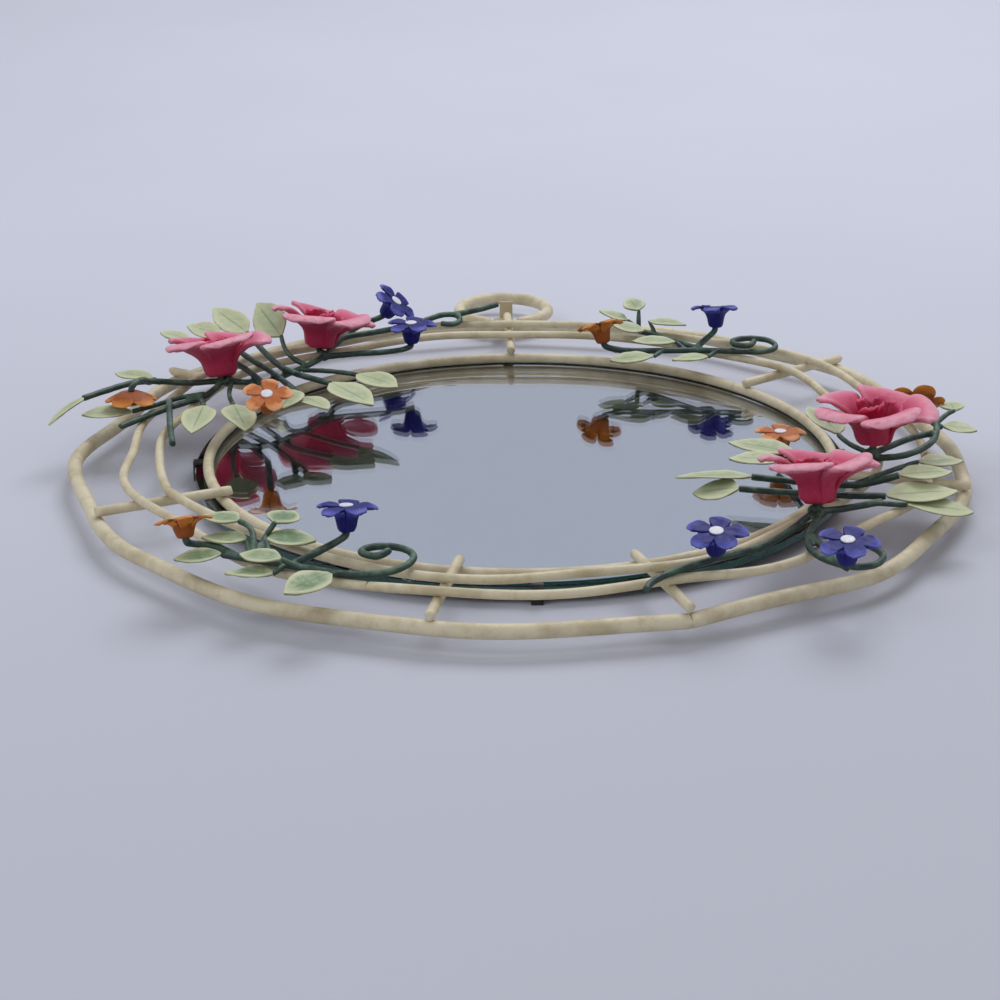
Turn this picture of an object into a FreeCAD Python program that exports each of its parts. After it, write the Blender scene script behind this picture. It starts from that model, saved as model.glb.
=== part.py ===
import FreeCAD, Part
import math
import os

# A round wall mirror in a bent rod frame with painted metal flowers, lying face up.
# Millimetres. The origin is the centre of the back face, +Z comes out of the glass,
# +Y points to the hanging ring, which is the top of the mirror on the wall.

V = FreeCAD.Vector
UP = V(0, 0, 1)

# Glass and backing
glass_radius = 182.0
glass_thickness = 5.0
glass_arris = 0.8
board_thickness = 5.0
board_inset = 12.0

# Clips that hold the glass to the ring
strip = 1.2
clip_width = 6.0
clip_foot = 14.0
clip_clearance = 0.2
clip_angles = (-88.0, 2.0, 92.0, 182.0)

# Rods of the frame
ring_inset = 7.0
ring_rod = 6.0
rung_rod = 5.5
wire_rod = 5.0
rail_rod = 8.0
rail_past_glass = 63.0
middle_past_glass = 38.0
inner_past_glass = 17.0
rail_wave = 6.0
middle_wave = 10.0
inner_wave = 7.0
rung_inside = 4.5
rung_past_rail = 1.0
rod_sides = 8
wire_sides = 6
bend_step = 8.0
ring_step = 9.0

# Hanging ring
hanger_x = -9.0
hanger_radius = 30.0
hanger_rod = 8.0
hanger_half_gap = 9.0
hanger_pin = 4.0
pin_clearance = 0.08
strap_thickness = 1.6
strap_width = 9.0
strap_offset = -2.0
strap_reach = 6.0
tab_width = 8.5
tab_offset = 1.7
tab_height = 14.0
hanger_gap = 4.0
hanger_step = 15.0

# Sprays of flowers
stem_rod = 4.2
twig_rod = 3.4
stem_sides = 6
stem_steps = 2
neck = 3.2
spray_rise = 20.0
leaf_thickness = 1.2
leaf_width = 24.0
rose_radius = 32.0
rose_height = 20.0
rose_sheet = 1.6
bud_height = 11.0
bloom_radius = 16.0
bloom_height = 12.0
bloom_sheet = 1.4
button_radius = 3.8
button_height = 1.0
button_sides = 10

# Radii of the bent rods
ring_radius = glass_radius - ring_inset
rail_radius = glass_radius + rail_past_glass
middle_radius = glass_radius + middle_past_glass
inner_radius = glass_radius + inner_past_glass

# Heights of the layers, from the back face up
glass_back = board_thickness
glass_front = glass_back + glass_thickness
ring_level = glass_front + ring_rod / 2
rung_level = ring_level + ring_rod / 2 + rung_rod / 2
rail_level = rung_level - rung_rod / 2 - rail_rod / 2
wire_level = rung_level + rung_rod / 2 + wire_rod / 2
wire_top = wire_level + wire_rod / 2

# Angles of the rungs, counter-clockwise from +X
rung_degrees = {
    "rung_top": 91.5,
    "rung_upper_left": 148.0,
    "rung_left": 205.0,
    "rung_lower_left": 259.3,
    "rung_lower_right": 288.7,
    "rung_right": 343.5,
    "rung_upper_right": 37.5,
}

# Crests and hollows of the bent rods: degrees, and offset as a share of the rod's wave
rail_wave_shares = (
    (4.5, 0.3), (12.0, -1.3), (24.0, -0.5), (37.0, 1.0), (50.0, -0.2), (64.0, 1.0),
    (78.0, -0.2), (92.0, 0.4), (106.0, -0.3), (120.0, 0.9), (134.0, -0.3), (148.0, 0.9),
    (168.0, -1.4), (178.5, 1.1), (199.0, -0.5), (213.0, 0.4), (224.5, -0.6), (235.0, 0.4),
    (253.0, -0.9), (265.0, -0.4), (280.0, -1.2), (290.0, -0.5), (300.0, -1.7), (316.0, 0.8),
    (328.0, -0.5), (344.0, 0.5), (359.0, -0.7),
)
middle_wave_shares = (
    (17.0, -0.5), (37.0, 0.5), (60.0, -1.2), (78.0, -0.7), (90.0, -0.9), (103.0, -0.4),
    (124.0, -1.6), (146.0, 0.2), (164.0, -0.7), (176.0, -0.2), (184.0, -0.8), (200.0, 0.6),
    (218.0, -0.2), (238.0, 1.2), (259.0, 0.4), (272.0, 0.7), (290.0, -0.2), (302.0, 1.1),
    (320.0, 0.0), (332.0, 1.2), (353.0, 0.3),
)
inner_wave_shares = (
    (20.0, -1.2), (35.0, 0.4), (51.0, -1.3), (66.0, -1.0), (76.0, -1.1), (92.0, -1.6),
    (105.0, -0.7), (124.0, -1.4), (146.0, 0.4), (165.0, -0.6), (183.0, 0.4), (190.0, 0.2),
    (204.0, 0.9), (224.0, 0.0), (264.0, 1.5), (280.0, 0.1), (294.0, 0.9), (317.0, -0.9),
    (340.0, 0.2),
)

# Where the lengths of rod are butted end to end, in degrees
rail_cuts = {"rail_right": (-71.3, 92.0), "rail_left": (92.0, 205.0), "rail_bottom": (205.0, 288.7)}
middle_cuts = {"middle_wire_right": (-109.3, 70.0), "middle_wire_left": (70.0, 250.7)}
inner_cuts = {"inner_wire_bottom": (-155.0, 45.0), "inner_wire_top": (45.0, 205.0)}


def face_of(points):
    return Part.Face(Part.makePolygon(list(points) + [points[0]]))


def solid_of(faces):
    shell = Part.Shell(faces)
    shell.sewShape()
    solid = Part.Solid(shell)
    if solid.Volume < 0:
        solid.reverse()
    return solid


def skin(sections, capped=True):
    """A solid through loops of points, whose four-sided patches are split where they aren't flat."""
    faces = []
    for low, high in zip(sections, sections[1:]):
        for k in range(len(low)):
            n = (k + 1) % len(low)
            patch = (low[k], low[n], high[n], high[k])
            normal = (patch[1] - patch[0]).cross(patch[2] - patch[0])
            off = abs(normal.dot(patch[3] - patch[0]))
            if off <= 1e-7 * normal.Length * (patch[3] - patch[0]).Length:
                faces.append(face_of(patch))
            else:
                faces.append(face_of(patch[:3]))
                faces.append(face_of((patch[0], patch[2], patch[3])))
    if capped:
        faces.append(face_of(list(reversed(sections[0]))))
        faces.append(face_of(sections[-1]))
    return solid_of(faces)


def slid(corners, along, point, normal):
    """Corners moved along a direction until they lie on a plane."""
    reach = along.dot(normal)
    return [c + along * ((point - c).dot(normal) / reach) for c in corners]


def rod(points, across, sides, closed=False, start_normal=None, end_normal=None):
    """A rod with flats, mitred from run to run, its width across flats given, with one flat facing up."""
    runs = [(b - a).normalize() for a, b in zip(points, points[1:])]
    if closed:
        runs.append((points[0] - points[-1]).normalize())
    side = runs[0].cross(UP)
    if side.Length < 1e-3:
        side = V(1, 0, 0)
    side.normalize()
    above = side.cross(runs[0])
    corner = across / 2 / math.cos(math.pi / sides)
    first = []
    for k in range(sides):
        turn = math.pi / 2 - math.pi / sides + 2 * math.pi * k / sides
        first.append(points[0] + (side * math.cos(turn) + above * math.sin(turn)) * corner)
    if closed:
        start_normal = (runs[-1] + runs[0]).normalize()
    if start_normal is not None:
        first = slid(first, runs[0], points[0], start_normal)
    sections = [first]
    for i in range(1, len(points)):
        if i < len(runs):
            normal = (runs[i - 1] + runs[i]).normalize()
        else:
            normal = end_normal if end_normal is not None else runs[-1]
        sections.append(slid(sections[-1], runs[i - 1], points[i], normal))
    if closed:
        sections.append(sections[0])
    return skin(sections, capped=not closed)


def polar(radius, degrees, level):
    turn = math.radians(degrees)
    return V(radius * math.cos(turn), radius * math.sin(turn), level)


def tangent(degrees):
    turn = math.radians(degrees)
    return V(-math.sin(turn), math.cos(turn), 0)


def wave_radius(shares, radius, wave, degrees):
    """The radius of a bent rod at an angle, easing from each crest to the next hollow."""
    angle = degrees % 360
    turns = [(a - 360, s) for a, s in shares[-2:]] + list(shares) + [(a + 360, s) for a, s in shares[:2]]
    for (a, s), (b, t) in zip(turns, turns[1:]):
        if a <= angle <= b:
            ease = (1 - math.cos(math.pi * (angle - a) / (b - a))) / 2
            return radius + wave * (s + (t - s) * ease)
    raise ValueError("angle outside the table of waves")


def bent_length(shares, radius, wave, level, across, sides, start, end):
    """One length of bent rod between two angles, both ends cut square so that lengths butt."""
    count = round((end - start) / bend_step)
    points = []
    for i in range(count + 1):
        degrees = start + (end - start) * i / count
        points.append(polar(wave_radius(shares, radius, wave, degrees), degrees, level))
    return rod(points, across, sides, start_normal=tangent(start), end_normal=tangent(end))


def make_board():
    board = Part.makeCylinder(glass_radius - board_inset, board_thickness)
    notch_width = clip_width + 2 * clip_clearance
    for degrees in clip_angles:
        notch = Part.makeBox(clip_foot + clip_clearance, notch_width, strip)
        notch.translate(V(glass_radius - clip_foot - clip_clearance, -notch_width / 2, 0))
        notch.rotate(V(), UP, degrees)
        board = board.cut(notch)
    return board


def make_glass():
    glass = Part.makeCylinder(glass_radius, glass_thickness, V(0, 0, glass_back))
    rim = [e for e in glass.Edges if e.BoundBox.ZMin > glass_front - glass_arris]
    return glass.makeChamfer(glass_arris, rim)


def make_clips():
    """C-shaped clips from the ring over the glass edge to a foot let into the board."""
    lip_end = ring_radius + ring_rod / 2 * math.tan(math.pi / rod_sides) + strip + clip_clearance
    outside = glass_radius + strip
    outline = (
        (glass_radius - clip_foot, 0), (outside, 0), (outside, glass_front + strip),
        (lip_end, glass_front + strip), (lip_end, glass_front), (glass_radius, glass_front),
        (glass_radius, strip), (glass_radius - clip_foot, strip),
    )
    clips = []
    for degrees in clip_angles:
        profile = face_of([V(x, -clip_width / 2, z) for x, z in outline])
        clip = profile.extrude(V(0, clip_width, 0))
        clip.rotate(V(), UP, degrees)
        clips.append(clip)
    return clips


def make_mirror_ring():
    count = round(360 / ring_step)
    points = [polar(ring_radius, 360 * i / count, ring_level) for i in range(count)]
    return rod(points, ring_rod, rod_sides, closed=True)


def make_rung(degrees):
    outer = wave_radius(rail_wave_shares, rail_radius, rail_wave, degrees) + rung_past_rail
    inner = ring_radius - rung_inside
    return rod([polar(inner, degrees, rung_level), polar(outer, degrees, rung_level)], rung_rod, rod_sides)


# Hanging ring and its strap
eye_radius = hanger_pin / 2 + pin_clearance + strap_thickness
pin_level = rail_level - rail_rod / 2 - strap_thickness + eye_radius
rail_top_y = wave_radius(rail_wave_shares, rail_radius, rail_wave, 92.0)
pin_y = rail_top_y + rail_rod / 2 + hanger_rod / 2 + hanger_gap


def make_strap():
    """A strip under the rail that is rolled round the pin, with its end standing up."""
    foot = Part.makeBox(strap_width, pin_y - rail_top_y + strap_reach, strap_thickness)
    foot.translate(V(-strap_width / 2, rail_top_y - strap_reach, pin_level - eye_radius))
    eye = Part.makeCylinder(eye_radius, strap_width, V(-strap_width / 2, pin_y, pin_level), V(1, 0, 0))
    tab = Part.makeBox(tab_width, strap_thickness, tab_height)
    tab_x = tab_offset - strap_offset - tab_width / 2
    tab.translate(V(tab_x, pin_y + eye_radius - strap_thickness, pin_level))
    bore_radius = hanger_pin / 2 + pin_clearance
    bore = Part.makeCylinder(bore_radius, 4 * strap_width, V(-2 * strap_width, pin_y, pin_level), V(1, 0, 0))
    strap = foot.fuse(eye).fuse(tab).cut(bore).removeSplitter()
    strap.translate(V(hanger_x + strap_offset, 0, 0))
    return strap


def make_hanger():
    """An open ring whose ends are joined by a thinner pin."""
    half = math.degrees(math.asin(hanger_half_gap / hanger_radius))
    centre = V(hanger_x, pin_y + hanger_radius * math.cos(math.radians(half)), pin_level)
    start = -90 + half
    end = 270 - half
    count = round((end - start) / (hanger_step))
    points = [centre + polar(hanger_radius, start + (end - start) * i / count, 0) for i in range(count + 1)]
    loop = rod(points, hanger_rod, rod_sides, start_normal=V(1, 0, 0), end_normal=V(1, 0, 0))
    pin_start = V(hanger_x - hanger_half_gap, pin_y, pin_level)
    pin = Part.makeCylinder(hanger_pin / 2, 2 * hanger_half_gap, pin_start, V(1, 0, 0))
    return loop.fuse(pin)


# Sprays. A point is across and up the frame as shares of the rail's radius,
# and its height over the wires as a share of the spray's rise.
def spot(shares, across=stem_rod):
    x, y, rise = shares
    return V(x * rail_radius, y * rail_radius, wire_top + across / 2 + rise * spray_rise)


def smooth(points, steps):
    """Points eased through the given ones, a few to each span."""
    if len(points) < 3:
        return points
    ends = [points[0] * 2 - points[1]] + points + [points[-1] * 2 - points[-2]]
    path = []
    for i in range(1, len(ends) - 2):
        a, b, c, d = ends[i - 1:i + 3]
        for k in range(steps):
            t = k / steps
            point = (b * 2 + (c - a) * t + (a * 2 - b * 5 + c * 4 - d) * t ** 2
                     + (b * 3 - a - c * 3 + d) * t ** 3) * 0.5
            point.z = min(max(point.z, min(b.z, c.z)), max(b.z, c.z))
            path.append(point)
    return path + [points[-1]]


def coped(piece, others):
    """A rod cut back where it meets the rods that were there before, so that it seats on them."""
    for other in others:
        if piece.BoundBox.intersect(other.BoundBox) and piece.common(other).Volume > 0:
            piece = piece.cut(other)
    return max(piece.Solids, key=lambda s: s.Volume)


leaf_station_shares = (0.0, 0.30, 0.68, 1.0)
leaf_width_shares = (0.2, 0.94, 0.86, 0.08)
leaf_bow_share = 0.03
leaf_crease_share = 0.05


def make_leaf(root, tip, width, roll, seat):
    """A creased leaf of sheet metal from its root, cut to the plane of its seat, to its tip."""
    axis = (tip - root).normalize()
    length = (tip - root).Length
    normal = UP - axis * UP.dot(axis)
    normal = FreeCAD.Rotation(axis, roll).multVec(normal.normalize())
    side = axis.cross(normal)
    sections = []
    for along, wide in zip(leaf_station_shares, leaf_width_shares):
        rise = normal * (leaf_bow_share * length * math.sin(math.pi * along))
        middle = root + axis * (length * along) + rise
        edge = side * (width / 2 * wide)
        lift = normal * (leaf_crease_share * width * wide)
        half = normal * (leaf_thickness / 2)
        sections.append([
            middle + edge + lift + half, middle + half, middle - edge + lift + half,
            middle - edge + lift - half, middle - half, middle + edge + lift - half,
        ])
    sections[0] = slid(sections[0], axis, root, seat)
    return skin(sections)


def frame_of(base, axis, spin):
    """A placement with its Z along an axis."""
    turn = FreeCAD.Rotation(UP, axis).multiply(FreeCAD.Rotation(UP, spin))
    return FreeCAD.Placement(base, turn)


def lean(tilt, towards):
    """A direction tilted from straight up towards a compass angle."""
    t = math.radians(tilt)
    c = math.radians(towards)
    return V(math.sin(t) * math.cos(c), math.sin(t) * math.sin(c), math.cos(t))


petals = 5
petal_points = 4
notch_power = 0.7


def lobed(radius, notch, level):
    """A loop of points with one round lobe for each petal."""
    count = petals * petal_points
    loop = []
    for i in range(count):
        turn = 2 * math.pi * i / count
        lobe = abs(math.cos(petals * turn / 2)) ** notch_power
        loop.append(V(math.cos(turn), math.sin(turn), 0) * radius * (1 - notch * (1 - lobe)) + V(0, 0, level))
    return loop


# Corollas: height and radius as shares, depth of the notches between petals
rose_outside_shares = ((0.0, 0.30, 0.0), (0.40, 0.39, 0.0), (0.84, 0.66, 0.1), (0.78, 1.0, 0.38))
rose_inside_shares = ((1.04, 0.76, 0.2), (0.98, 0.52, 0.06), (0.55, 0.26, 0.0))
bloom_outside_shares = ((0.0, 0.33, 0.0), (0.55, 0.40, 0.0), (1.0, 1.0, 0.5))
bloom_inside_shares = ((1.0, 0.34, 0.0),)
bud_shares = ((0.0, 0.20, 0.0), (0.5, 0.30, 0.2), (1.0, 0.24, 0.45))

# Small flowers that were pressed flatter than the rest, as shares of their height
flatter_shares = {"orange_flower_left": 0.6, "orange_flower_right": 0.45, "orange_flower_lower_left": 0.8}


def corolla(outside, inside, radius, height, sheet):
    """A cup that flares into petals, from its base up the outside and down the inside."""
    loops = [lobed(r * radius, n, h * height) for h, r, n in outside]
    top_height, top_radius, top_notch = outside[-1]
    loops.append(lobed(top_radius * radius, top_notch, top_height * height + sheet))
    loops += [lobed(r * radius, n, h * height) for h, r, n in inside]
    return skin(loops)


def rose_floor():
    return rose_inside_shares[-1][0] * rose_height


def make_rose(base, axis, spin, size):
    rose = corolla(rose_outside_shares, rose_inside_shares, rose_radius * size, rose_height * size,
                   rose_sheet * size)
    rose.Placement = frame_of(base, axis, spin)
    return rose


def make_bud(base, axis, spin, size):
    loops = []
    for h, r, n in bud_shares:
        loops.append(lobed(r * rose_radius * size, n, (rose_floor() + h * bud_height) * size))
    bud = skin(loops)
    bud.Placement = frame_of(base, axis, spin)
    return bud


def make_bloom(base, axis, spin, size, height):
    bloom = corolla(bloom_outside_shares, bloom_inside_shares, bloom_radius * size, height,
                    bloom_sheet * size)
    bloom.Placement = frame_of(base, axis, spin)
    return bloom


def make_button(base, axis, size, height):
    outline = [polar(button_radius * size, 360 * k / button_sides, height) for k in range(button_sides)]
    disc = face_of(outline).extrude(V(0, 0, button_height * size))
    disc.Placement = frame_of(base, axis, 0)
    return disc


# Each spray: main stems, then leaves and flowers on their own short stems.
# A leaf is its stem's points, its tip, its width as a share and its roll.
# A flower is its node, its stem's points, its tilt and the way it tilts, its spin and its size share.
spray_shares = {
    "upper_left": {
        "stems": (
            ((-0.70, 0.335, 0.0), (-0.72, 0.34, 0.0), (-0.80, 0.32, 0.0), (-0.91, 0.27, 0.3),
             (-1.02, 0.14, 0.3)),
            ((-0.72, 0.33, 0.0), (-0.74, 0.235, 0.0), (-0.79, 0.175, 0.0), (-0.83, 0.13, 0.0),
             (-0.915, 0.01, 0.0)),
            ((-0.82, 0.145, 0.2), (-0.80, 0.0, 0.1), (-0.78, -0.11, 0.0)),
            ((-0.72, 0.34, 0.0), (-0.64, 0.325, 0.0), (-0.60, 0.34, 0.0), (-0.558, 0.40, 0.0),
             (-0.52, 0.46, 0.0),
             (-0.485, 0.53, 0.0), (-0.47, 0.61, 0.0)),
            ((-0.47, 0.61, 0.0), (-0.44, 0.67, 0.1), (-0.34, 0.72, 0.1), (-0.24, 0.81, 0.1),
             (-0.20, 0.86, 0.1),
             (-0.16, 0.86, 0.1), (-0.15, 0.83, 0.0), (-0.17, 0.80, 0.0), (-0.20, 0.81, 0.0)),
            ((-0.165, 0.862, 0.1), (-0.10, 0.88, 0.2), (-0.05, 0.90, 0.3)),
            ((-0.684, 0.622, 0.4), (-0.607, 0.452, 0.2), (-0.554, 0.357, 0.2), (-0.452, 0.28, 0.15)),
            ((-0.747, 0.598, 0.45), (-0.674, 0.471, 0.25), (-0.60, 0.36, 0.2), (-0.508, 0.177, 0.15)),
            ((-0.824, 0.568, 0.4), (-0.72, 0.455, 0.25), (-0.66, 0.375, 0.2), (-0.606, 0.255, 0.2)),
        ),
        "leaves": (
            (((-1.02, 0.14, 0.3),), (-1.08, 0.01, 0.1), 0.6, 15),
            (((-0.86, 0.29, 0.15), (-0.88, 0.31, 0.2)), (-0.98, 0.36, 0.2), 0.6, 0),
            (((-0.745, 0.22, 0.1), (-0.80, 0.195, 0.1), (-0.85, 0.165, 0.0), (-0.905, 0.12, -0.02)),
             (-1.02, 0.105, -0.02), 0.8, 0),
            (((-0.755, 0.21, 0.0), (-0.735, 0.115, 0.15)), (-0.745, -0.05, 0.1), 0.9, 0),
            (((-0.695, 0.335, 0.0), (-0.69, 0.27, 0.1), (-0.69, 0.21, 0.1), (-0.669, 0.133, 0.1)),
             (-0.625, -0.02, 0.05), 0.9, 0),
            (((-0.508, 0.177, 0.15),), (-0.445, 0.095, 0.15), 0.75, 0),
            (((-0.55, 0.26, 0.18), (-0.535, 0.195, 0.3)), (-0.55, 0.08, 0.25), 0.85, 0),
            (((-0.452, 0.28, 0.15),), (-0.345, 0.165, 0.0), 1.05, 0),
            (((-0.53, 0.42, 0.0), (-0.452, 0.378, 0.15), (-0.392, 0.346, 0.15)),
             (-0.29, 0.235, 0.25), 0.85, 0),
            (((-0.684, 0.622, 0.4),), (-0.778, 0.70, 0.95), 0.9, -20),
            (((-0.747, 0.598, 0.45),), (-0.835, 0.625, 0.65), 0.7, -20),
            (((-0.824, 0.568, 0.4),), (-0.90, 0.60, 0.55), 0.65, 0),
            (((-0.52, 0.455, 0.0), (-0.563, 0.469, 0.2), (-0.586, 0.535, 0.3), (-0.596, 0.598, 0.4)),
             (-0.67, 0.73, 1.0), 1.0, -35),
        ),
        "flowers": (
            ("rose_upper_left", ((-0.72, 0.34, 0.0), (-0.72, 0.34, 0.2)), 13, 110, 10, 1.0),
            ("rose_top_left", ((-0.485, 0.55, 0.0), (-0.50, 0.57, 0.2)), 14, 50, 40, 1.0),
            ("peach_flower_left", ((-0.606, 0.255, 0.2), (-0.583, 0.067, 0.25)), 22, 275, 18, 0.95),
            ("orange_flower_left", ((-0.885, 0.283, 0.2), (-0.893, 0.21, 0.62), (-0.905, 0.13, 0.52)),
             176, 265, 30, 0.95),
            ("blue_flower_top", ((-0.47, 0.61, 0.0), (-0.41, 0.75, 0.2), (-0.345, 0.80, 0.35)),
             40, 345, 0, 1.0),
            ("blue_flower_upper_left",
             ((-0.485, 0.53, 0.0), (-0.40, 0.555, 0.0), (-0.30, 0.57, 0.0), (-0.27, 0.61, 0.15)),
             0, 90, 15, 1.0),
        ),
    },
    "upper_right": {
        "stems": (
            ((0.24, 0.575, 0.0), (0.34, 0.565, 0.0), (0.47, 0.57, 0.0), (0.60, 0.55, 0.0),
             (0.645, 0.565, 0.1),
             (0.63, 0.60, 0.2), (0.58, 0.605, 0.25), (0.537, 0.585, 0.25), (0.54, 0.55, 0.25),
             (0.575, 0.54, 0.25),
             (0.59, 0.57, 0.3)),
            ((0.46, 0.575, 0.0), (0.42, 0.62, 0.0), (0.35, 0.70, 0.0), (0.31, 0.735, 0.0)),
        ),
        "leaves": (
            (((0.36, 0.565, 0.0), (0.335, 0.52, 0.0)), (0.225, 0.51, -0.05), 0.7, 0),
            (((0.42, 0.57, 0.0), (0.395, 0.60, 0.15)), (0.285, 0.59, 0.25), 0.65, 0),
            (((0.50, 0.57, 0.0), (0.47, 0.515, 0.0)), (0.38, 0.51, -0.05), 0.7, 0),
            (((0.365, 0.68, 0.0), (0.32, 0.68, 0.2)), (0.24, 0.69, 0.4), 0.8, 0),
            (((0.35, 0.70, 0.0), (0.34, 0.735, 0.3)), (0.43, 0.70, 0.35), 0.7, 0),
            (((0.31, 0.735, 0.0), (0.31, 0.755, 0.6)), (0.285, 0.80, 0.85), 0.7, 0),
            (((0.325, 0.72, 0.0), (0.28, 0.735, 0.35)), (0.21, 0.76, 0.6), 0.7, 0),
        ),
        "flowers": (
            ("orange_flower_upper_right", ((0.26, 0.57, 0.0), (0.212, 0.576, 0.25)), 25, 120, 20, 0.95),
            ("blue_flower_upper_right", ((0.44, 0.57, 0.0), (0.475, 0.63, 0.15), (0.50, 0.66, 0.43)),
             14, 90, 40, 1.0),
        ),
    },
    "right": {
        "stems": (
            ((0.59, -0.235, 0.0), (0.69, -0.225, 0.0), (0.77, -0.22, 0.0), (0.85, -0.20, 0.0),
             (0.92, -0.13, 0.1),
             (0.94, -0.04, 0.2)),
            ((0.486, -0.385, 0.25), (0.64, -0.38, 0.0), (0.72, -0.385, 0.0), (0.80, -0.39, 0.3)),
            ((0.455, -0.435, 0.15), (0.60, -0.435, 0.0), (0.68, -0.445, 0.0), (0.762, -0.46, 0.05)),
            ((0.60, -0.54, 0.0), (0.68, -0.515, 0.0), (0.75, -0.48, 0.0)),
            ((0.77, -0.21, 0.1), (0.815, -0.175, 0.15), (0.87, -0.12, 0.15), (0.925, -0.09, 0.15)),
            ((0.60, -0.54, 0.0), (0.54, -0.64, 0.0), (0.47, -0.73, 0.0), (0.34, -0.81, 0.0),
             (0.25, -0.89, 0.0),
             (0.23, -0.94, 0.0)),
            ((0.62, -0.525, 0.0), (0.575, -0.66, 0.0), (0.57, -0.76, 0.0), (0.63, -0.83, 0.0),
             (0.69, -0.82, 0.0),
             (0.71, -0.76, 0.0), (0.67, -0.70, 0.0)),
        ),
        "leaves": (
            (((0.79, -0.22, 0.0), (0.72, -0.17, 0.2), (0.705, -0.13, 0.3)), (0.655, 0.0, 0.6), 1.0, 10),
            (((0.94, -0.055, 0.15), (0.955, -0.045, 0.15)), (1.03, -0.06, 0.1), 0.8, 0),
            (((0.94, -0.04, 0.2), (0.965, -0.01, 0.35), (0.985, 0.0, 0.42)), (0.99, 0.08, 0.36), 0.65, 0),
            (((0.62, -0.235, 0.0), (0.603, -0.21, 0.1)), (0.46, -0.147, 0.2), 0.85, 0),
            (((0.60, -0.235, 0.0), (0.57, -0.265, 0.15)), (0.45, -0.255, 0.2), 0.75, 0),
            (((0.70, -0.385, 0.0), (0.79, -0.31, 0.05), (0.862, -0.265, 0.1)), (0.962, -0.255, 0.1), 0.85, 0),
            (((0.80, -0.39, 0.3),), (0.915, -0.375, 0.35), 0.95, 0),
            (((0.762, -0.46, 0.05),), (0.915, -0.44, 0.12), 1.1, 4),
            (((0.73, -0.49, 0.0), (0.80, -0.50, 0.0)), (0.943, -0.485, -0.25), 0.9, 0),
            (((0.486, -0.385, 0.25),), (0.325, -0.385, 0.3), 0.7, 0),
            (((0.455, -0.435, 0.15),), (0.36, -0.40, -0.1), 1.05, -10),
        ),
        "flowers": (
            ("rose_upper_right", ((0.77, -0.22, 0.0), (0.77, -0.215, 0.47)), 2, 90, 0, 1.03),
            ("rose_lower_right", ((0.62, -0.525, 0.0), (0.608, -0.52, 0.2)), 13, 90, 30, 1.0),
            ("peach_flower_right",
             ((0.66, -0.228, 0.0), (0.62, -0.14, -0.35), (0.597, -0.08, -0.7), (0.587, -0.045, -0.56)),
             0, 270, 18, 0.95),
            ("orange_flower_right", ((0.94, -0.05, 0.2), (0.915, 0.01, 0.3), (0.905, 0.04, 0.40)),
             50, 85, 0, 1.0),
            ("blue_flower_lower_middle", ((0.43, -0.755, 0.0), (0.374, -0.805, 0.25)), 10, 265, 10, 1.0),
            ("blue_flower_lower_right", ((0.575, -0.66, 0.0), (0.60, -0.78, 0.1), (0.625, -0.845, 0.2)),
             8, 262, 0, 1.0),
        ),
    },
    "lower_left": {
        "stems": (
            ((-0.60, -0.755, 0.0), (-0.54, -0.78, 0.0), (-0.42, -0.83, 0.0), (-0.34, -0.86, 0.0),
             (-0.26, -0.85, 0.0), (-0.215, -0.80, 0.1), (-0.24, -0.765, 0.2), (-0.295, -0.765, 0.25),
             (-0.325, -0.795, 0.25),
             (-0.29, -0.82, 0.25), (-0.265, -0.795, 0.3)),
        ),
        "leaves": (
            (((-0.53, -0.78, 0.0), (-0.52, -0.71, 0.2), (-0.50, -0.68, 0.45)),
             (-0.465, -0.625, 0.5), 0.85, 0),
            (((-0.50, -0.80, 0.0), (-0.515, -0.71, 0.2)), (-0.415, -0.72, 0.2), 0.8, 0),
            (((-0.54, -0.78, 0.0), (-0.555, -0.71, 0.15)), (-0.648, -0.69, 0.15), 0.8, 0),
            (((-0.60, -0.755, 0.0),), (-0.695, -0.765, -0.05), 0.7, 0),
            (((-0.44, -0.825, 0.0), (-0.475, -0.83, 0.25)), (-0.56, -0.80, 0.25), 0.7, 0),
            (((-0.47, -0.81, 0.0), (-0.49, -0.855, 0.0)), (-0.585, -0.845, 0.0), 0.7, 0),
            (((-0.36, -0.855, 0.0), (-0.375, -0.875, 0.1)), (-0.46, -0.955, 0.05), 0.9, 0),
            (((-0.535, -0.78, 0.0), (-0.54, -0.70, 0.45), (-0.575, -0.66, 0.4)), (-0.65, -0.62, 0.4), 0.8, 0),
        ),
        "flowers": (
            ("orange_flower_lower_left",
             ((-0.565, -0.77, 0.0), (-0.615, -0.71, 0.0), (-0.66, -0.705, 0.03), (-0.675, -0.722, 0.3)),
             24, 110, 0, 0.95),
            ("blue_flower_lower_left", ((-0.46, -0.815, 0.0), (-0.39, -0.77, 0.25), (-0.354, -0.715, 0.43)),
             8, 90, 20, 1.0),
        ),
    },
}


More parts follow.
